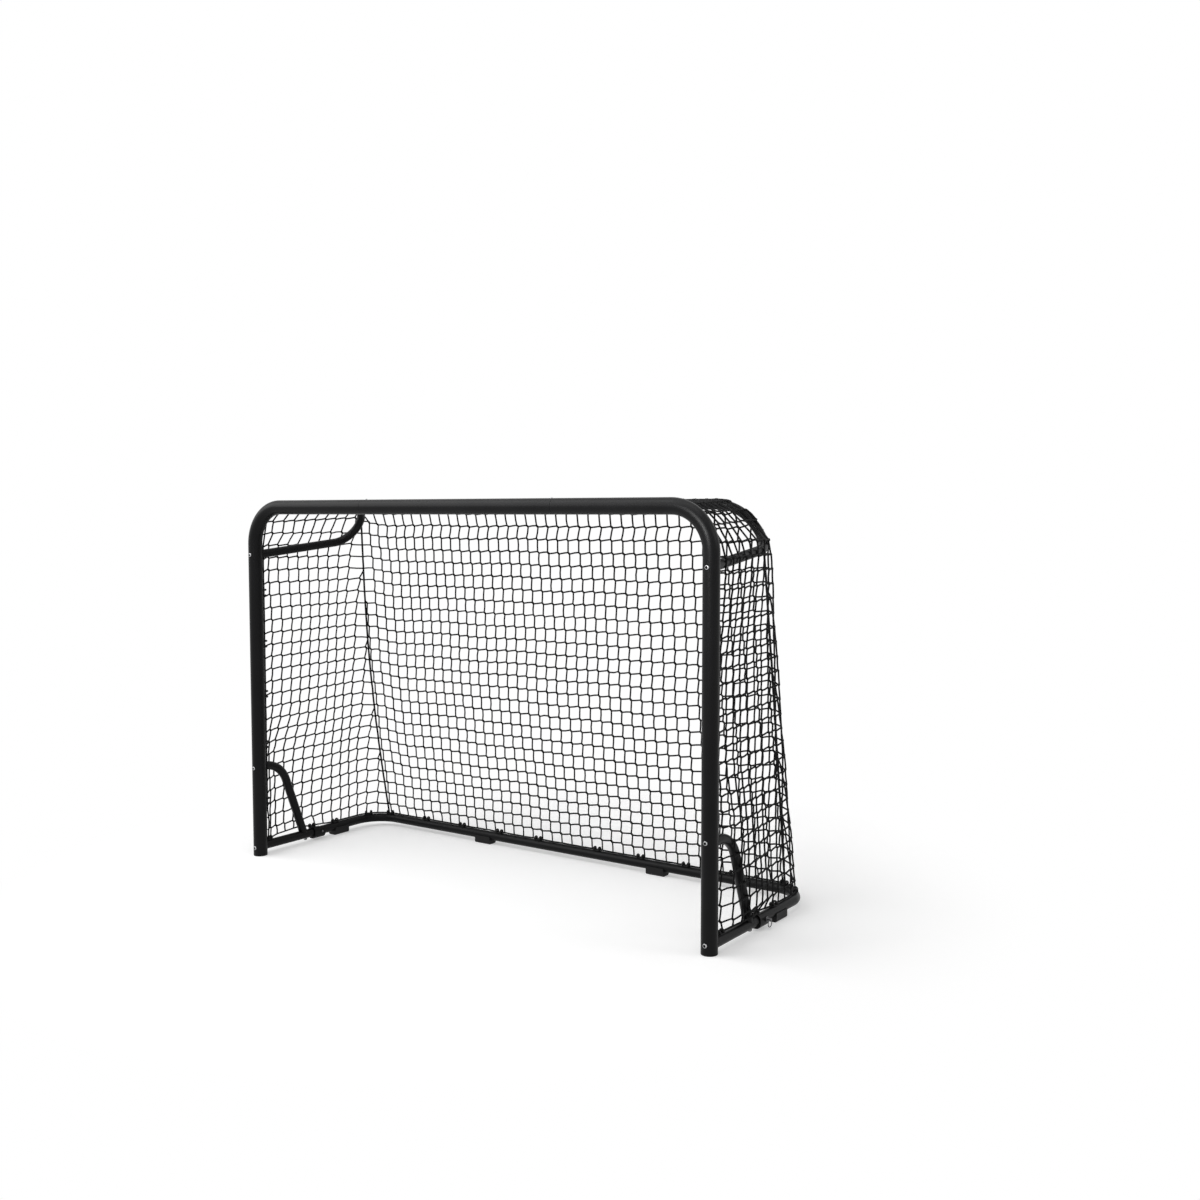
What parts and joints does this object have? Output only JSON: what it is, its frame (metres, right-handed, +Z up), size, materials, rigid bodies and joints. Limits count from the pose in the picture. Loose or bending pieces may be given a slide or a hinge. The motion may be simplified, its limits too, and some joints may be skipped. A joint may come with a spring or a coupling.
{
  "type": "sports goal",
  "caption": "Small free-standing goal: bent tube front frame, rear bow and braces, folding ground frame on ring pins, square-mesh net",
  "frame": {"origin": "on the floor, in the middle of the overall width and depth", "axes": "+X along the crossbar to the right seen from the front, +Y from the mouth to the back, +Z up"},
  "size_m": [1.837, 0.6084, 1.2025],
  "materials": {
    "black_powder_coat": "satin black powder coat",
    "zinc_steel": "bright zinc plated",
    "black_plastic": "matt moulded plastic",
    "net_cord": "matt knotted cord"
  },
  "bodies": {
    "frame": {"back_net": "net_cord", "bow_bar_tube": "black_powder_coat", "crossbar_tube": "black_powder_coat", "left_bow_bolt": "zinc_steel", "left_bow_corner": "black_powder_coat", "left_bow_insert": "zinc_steel", "left_bow_sleeve": "black_powder_coat", "left_brace": "black_powder_coat", "left_brace_bolt": "zinc_steel", "left_brace_insert": "zinc_steel", "left_collar": "black_powder_coat", "left_crossbar_screw": "zinc_steel", "left_crossbar_sleeve": "black_powder_coat", "left_foot_bolt": "zinc_steel", "left_foot_insert": "zinc_steel", "left_haunch_net": "net_cord", "left_post_cap": "black_plastic", "left_post_tube": "black_powder_coat", "left_side_net": "net_cord", "left_stub_bolt": "zinc_steel", "left_stub_insert": "zinc_steel", "left_stub_tube": "black_powder_coat", "right_bow_bolt": "zinc_steel", "right_bow_corner": "black_powder_coat", "right_bow_insert": "zinc_steel", "right_bow_sleeve": "black_powder_coat", "right_brace": "black_powder_coat", "right_brace_bolt": "zinc_steel", "right_brace_insert": "zinc_steel", "right_collar": "black_powder_coat", "right_crossbar_screw": "zinc_steel", "right_crossbar_sleeve": "black_powder_coat", "right_foot_bolt": "zinc_steel", "right_foot_insert": "zinc_steel", "right_haunch_net": "net_cord", "right_post_cap": "black_plastic", "right_post_tube": "black_powder_coat", "right_side_net": "net_cord", "right_stub_bolt": "zinc_steel", "right_stub_insert": "zinc_steel", "right_stub_tube": "black_powder_coat", "roof_net": "net_cord"},
    "rear_fold": {"ground_bar_tube": "black_powder_coat", "left_ground_corner": "black_powder_coat", "left_ground_sleeve": "black_powder_coat", "left_rear_pad": "black_plastic", "left_side_pad": "black_plastic", "right_ground_corner": "black_powder_coat", "right_ground_sleeve": "black_powder_coat", "right_rear_pad": "black_plastic", "right_side_pad": "black_plastic"},
    "left_pin": {"left_ring_pin": "zinc_steel"},
    "left_ring": {"left_pull_ring": "zinc_steel"},
    "right_pin": {"right_ring_pin": "zinc_steel"},
    "right_ring": {"right_pull_ring": "zinc_steel"}
  },
  "joints": [
    {"name": "ground_fold", "type": "hinge", "parent": "frame", "child": "rear_fold", "pos_m": [0, -0.0055, 0.0281], "axis": [1, 0, 0], "range_deg": [0, 90], "deforming": ["back_net", "left_side_net", "right_side_net"]},
    {"name": "left_pin_pull", "type": "slide", "parent": "frame", "child": "left_pin", "axis": [-1, 0, 0], "range_m": [0, 0.045]},
    {"name": "left_ring_swing", "type": "hinge", "parent": "left_pin", "child": "left_ring", "pos_m": [-0.91394, -0.0055, 0.0281], "axis": [0, 1, 0], "range_deg": [0, 90]},
    {"name": "right_pin_pull", "type": "slide", "parent": "frame", "child": "right_pin", "axis": [1, 0, 0], "range_m": [0, 0.045]},
    {"name": "right_ring_swing", "type": "hinge", "parent": "right_pin", "child": "right_ring", "pos_m": [0.91394, -0.0055, 0.0281], "axis": [0, -1, 0], "range_deg": [0, 90]}
  ]
}
